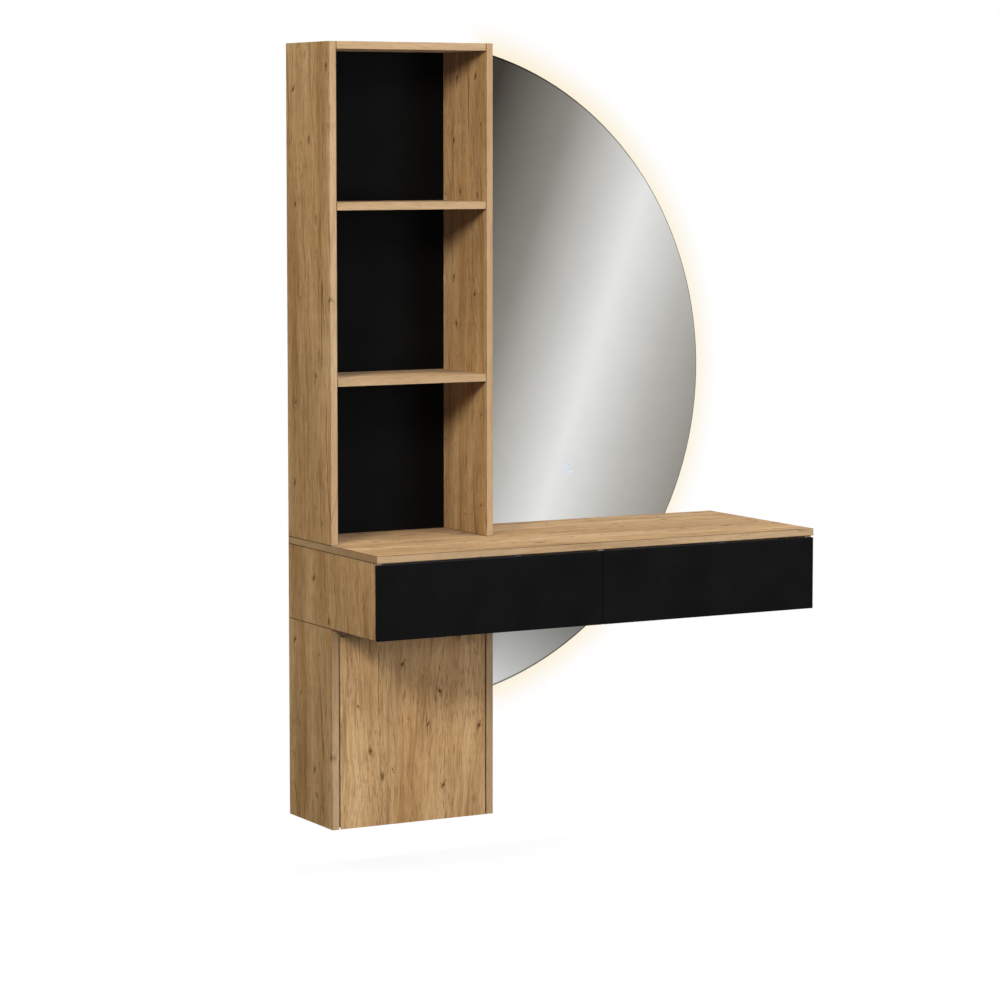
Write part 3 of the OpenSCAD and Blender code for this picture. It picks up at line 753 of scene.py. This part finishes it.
def floor_material():
    """Pale floor that keeps only a faint shadow."""
    made, tree = material("floor")
    cloud = solid_noise(tree, object_place(tree), 2.0, roughness=0.5)
    pale = tint(tree, cloud, *FLOOR_TONES)
    lit = add(tree, "ShaderNodeBsdfDiffuse", {"Color": pale})
    glow = add(tree, "ShaderNodeEmission", {"Color": WHITE, "Strength": FLOOR_GLOW})
    surface(tree, mix_shaders(tree, FLOOR_GLOW_SHARE, lit, glow))
    return made


def build_room():
    floor_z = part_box("cabinet_left_side")[0].z - FLOOR_UNDER_CABINET
    wall = sheet_object("wall", [(-ROOM, WALL_BEHIND, floor_z), (ROOM, WALL_BEHIND, floor_z),
                                 (ROOM, WALL_BEHIND, ROOM), (-ROOM, WALL_BEHIND, ROOM)])
    dress(wall, wall_material())
    floor = sheet_object("floor", [(-ROOM, -ROOM, floor_z), (ROOM, -ROOM, floor_z),
                                   (ROOM, ROOM, floor_z), (-ROOM, ROOM, floor_z)])
    dress(floor, floor_material())
    for piece in (wall, floor):
        piece.visible_glossy = False
        piece.visible_diffuse = False
    wall.visible_shadow = False


# ---- Surroundings ---------------------------------------------------------------------------
AMBIENT = 0.02
AMBIENT_TONE = (1.0, 0.99, 0.97, 1.0)

# Slanted panels that reflections see: how they lean, repeat and lie, and their tones through one
# repeat. Under the desk they are dimmed as painted shade of the desk in the mirror, the more so the
# nearer to it they are seen.
PANEL_LEAN = 0.317
PANEL_PERIOD = 0.125
PANEL_SHIFT = 0.045
PANEL_TONES = ((0.0, (0.055, 0.045, 0.038)), (0.10, (0.055, 0.046, 0.038)),
               (0.28, (0.27, 0.255, 0.23)), (0.40, (0.58, 0.57, 0.55)),
               (0.50, (0.86, 0.86, 0.85)), (0.66, (0.50, 0.485, 0.46)),
               (0.80, (0.28, 0.265, 0.235)), (1.0, (0.055, 0.045, 0.038)))
DESK_SHADE_DROP = 0.05
PAINTED_SHADE_AT_FOOT = 0.95
DESK_PAINTED_SHADE = 0.42


def camera_axes():
    """Right and up of the photograph's view."""
    turn = Euler((math.pi / 2 - CAMERA_TILT, 0.0, -CAMERA_YAW)).to_matrix()
    return turn @ Vector((1, 0, 0)), turn @ Vector((0, 1, 0))


def level_seen(height):
    """Upward part of the direction from the camera to the middle of the mirror at a height."""
    centre = mirror_circle()[0]
    return (Vector((centre.x, centre.y, height)) - Vector(CAMERA_AT)).normalized().z


def reflected_panels(tree):
    """The studio panels' colour in each direction, with painted shade of the desk under it."""
    right, up = camera_axes()
    slant = (right - PANEL_LEAN * up).normalized()
    direction = add(tree, "ShaderNodeTexCoord").outputs["Generated"]
    # The mirror turns the forward part of a direction round, so the slant's is turned round too
    swing = along_axis(tree, direction, (slant.x, -slant.y, slant.z))
    turns = maths(tree, "DIVIDE", maths(tree, "ADD", swing, PANEL_SHIFT), PANEL_PERIOD)
    panels = ramp(tree, maths(tree, "FRACT", turns), PANEL_TONES)
    # Painted shade of the desk in the mirror: darkest just under the desk, fading out above it and lighter
    # towards the mirror's foot
    mirror_foot = level_seen(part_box("mirror_glass")[0].z)
    under_desk = level_seen(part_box("desk_bottom")[0].z - DESK_SHADE_DROP)
    over_desk = level_seen(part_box("desk_top")[1].z)
    height = separate(tree, direction)["Z"]
    painted_shade_below = spread(tree, height, mirror_foot, under_desk, PAINTED_SHADE_AT_FOOT, DESK_PAINTED_SHADE)
    painted_desk_shade = maths(tree, "MAXIMUM", painted_shade_below, spread(tree, height, under_desk, over_desk, smooth=True))
    return mix(tree, 1.0, panels, combine(tree, painted_desk_shade, painted_desk_shade, painted_desk_shade), "MULTIPLY")


def build_world():
    """White for the camera, panels for reflections, and even soft light for everything else."""
    world = bpy.data.worlds.new("studio")
    bpy.context.scene.world = world
    world.use_nodes = True
    tree = world.node_tree
    tree.nodes.clear()
    ray = add(tree, "ShaderNodeLightPath").outputs
    soft = add(tree, "ShaderNodeBackground", {"Color": AMBIENT_TONE, "Strength": AMBIENT})
    white = add(tree, "ShaderNodeBackground", {"Color": WHITE, "Strength": 1.0})
    studio = add(tree, "ShaderNodeBackground", {"Color": reflected_panels(tree), "Strength": 1.0})
    shown = mix_shaders(tree, ray["Is Glossy Ray"], soft, studio)
    shown = mix_shaders(tree, ray["Is Camera Ray"], shown, white)
    tree.links.new(shown.outputs[0], add(tree, "ShaderNodeOutputWorld").inputs["Surface"])


# ---- Lights ---------------------------------------------------------------------------------
LIGHTS_AWAY = 5.0
WARM_LAMP = (1.0, 0.97, 0.88)

# Degrees leftward of straight in front, degrees upward, metres wide, watts, colour
Lamp = namedtuple("Lamp", "leftward upward wide watts colour")
LAMPS = {
    "left_key": Lamp(52, 24, 1.2, 165.0, WARM_LAMP),
    "right_key": Lamp(-30, 30, 1.6, 95.0, (0.96, 1.0, 1.06)),
    "front": Lamp(-22, 3, 2.2, 154.0, (0.97, 1.0, 1.08)),
    "overhead": Lamp(0, 80, 2.0, 160.0, (0.94, 1.0, 1.16)),
    "far_left": Lamp(90, 20, 2.4, 34.0, WARM_LAMP),
    "behind": Lamp(200, 17, 3.0, 95.0, (1.0, 1.0, 1.0)),
}


def area_light(name, lamp):
    """A round soft light aimed at the middle of the furniture."""
    low, high = cad_box
    turn, lift = math.radians(lamp.leftward), math.radians(lamp.upward)
    away = Vector((-math.sin(turn) * math.cos(lift), -math.cos(turn) * math.cos(lift), math.sin(lift)))
    data = bpy.data.lights.new(name, "AREA")
    data.shape = "DISK"
    data.size = lamp.wide
    data.energy = lamp.watts
    data.color = lamp.colour
    made = bpy.data.objects.new(name, data)
    made.location = (low + high) / 2 + LIGHTS_AWAY * away
    made.rotation_euler = (-away).to_track_quat("-Z", "Y").to_euler()
    made.visible_camera = False
    made.visible_glossy = False
    bpy.context.scene.collection.objects.link(made)


def build_camera():
    data = bpy.data.cameras.new("camera")
    data.lens = CAMERA_LENS
    data.sensor_width = SENSOR_WIDTH
    data.shift_y = CAMERA_SHIFT
    data.clip_end = VIEW_DEPTH
    camera = bpy.data.objects.new("camera", data)
    camera.location = CAMERA_AT
    camera.rotation_euler = (math.pi / 2 - CAMERA_TILT, 0.0, -CAMERA_YAW)
    bpy.context.scene.collection.objects.link(camera)
    bpy.context.scene.camera = camera


build_camera()
dress_boards()
dress_fittings()
# The mirror shows only the studio panels, not the furniture
for node in NODES.values():
    node.visible_glossy = False
build_room()
build_world()
for lamp_name, settings in LAMPS.items():
    area_light(lamp_name, settings)
bpy.context.scene.view_settings.view_transform = "Standard"
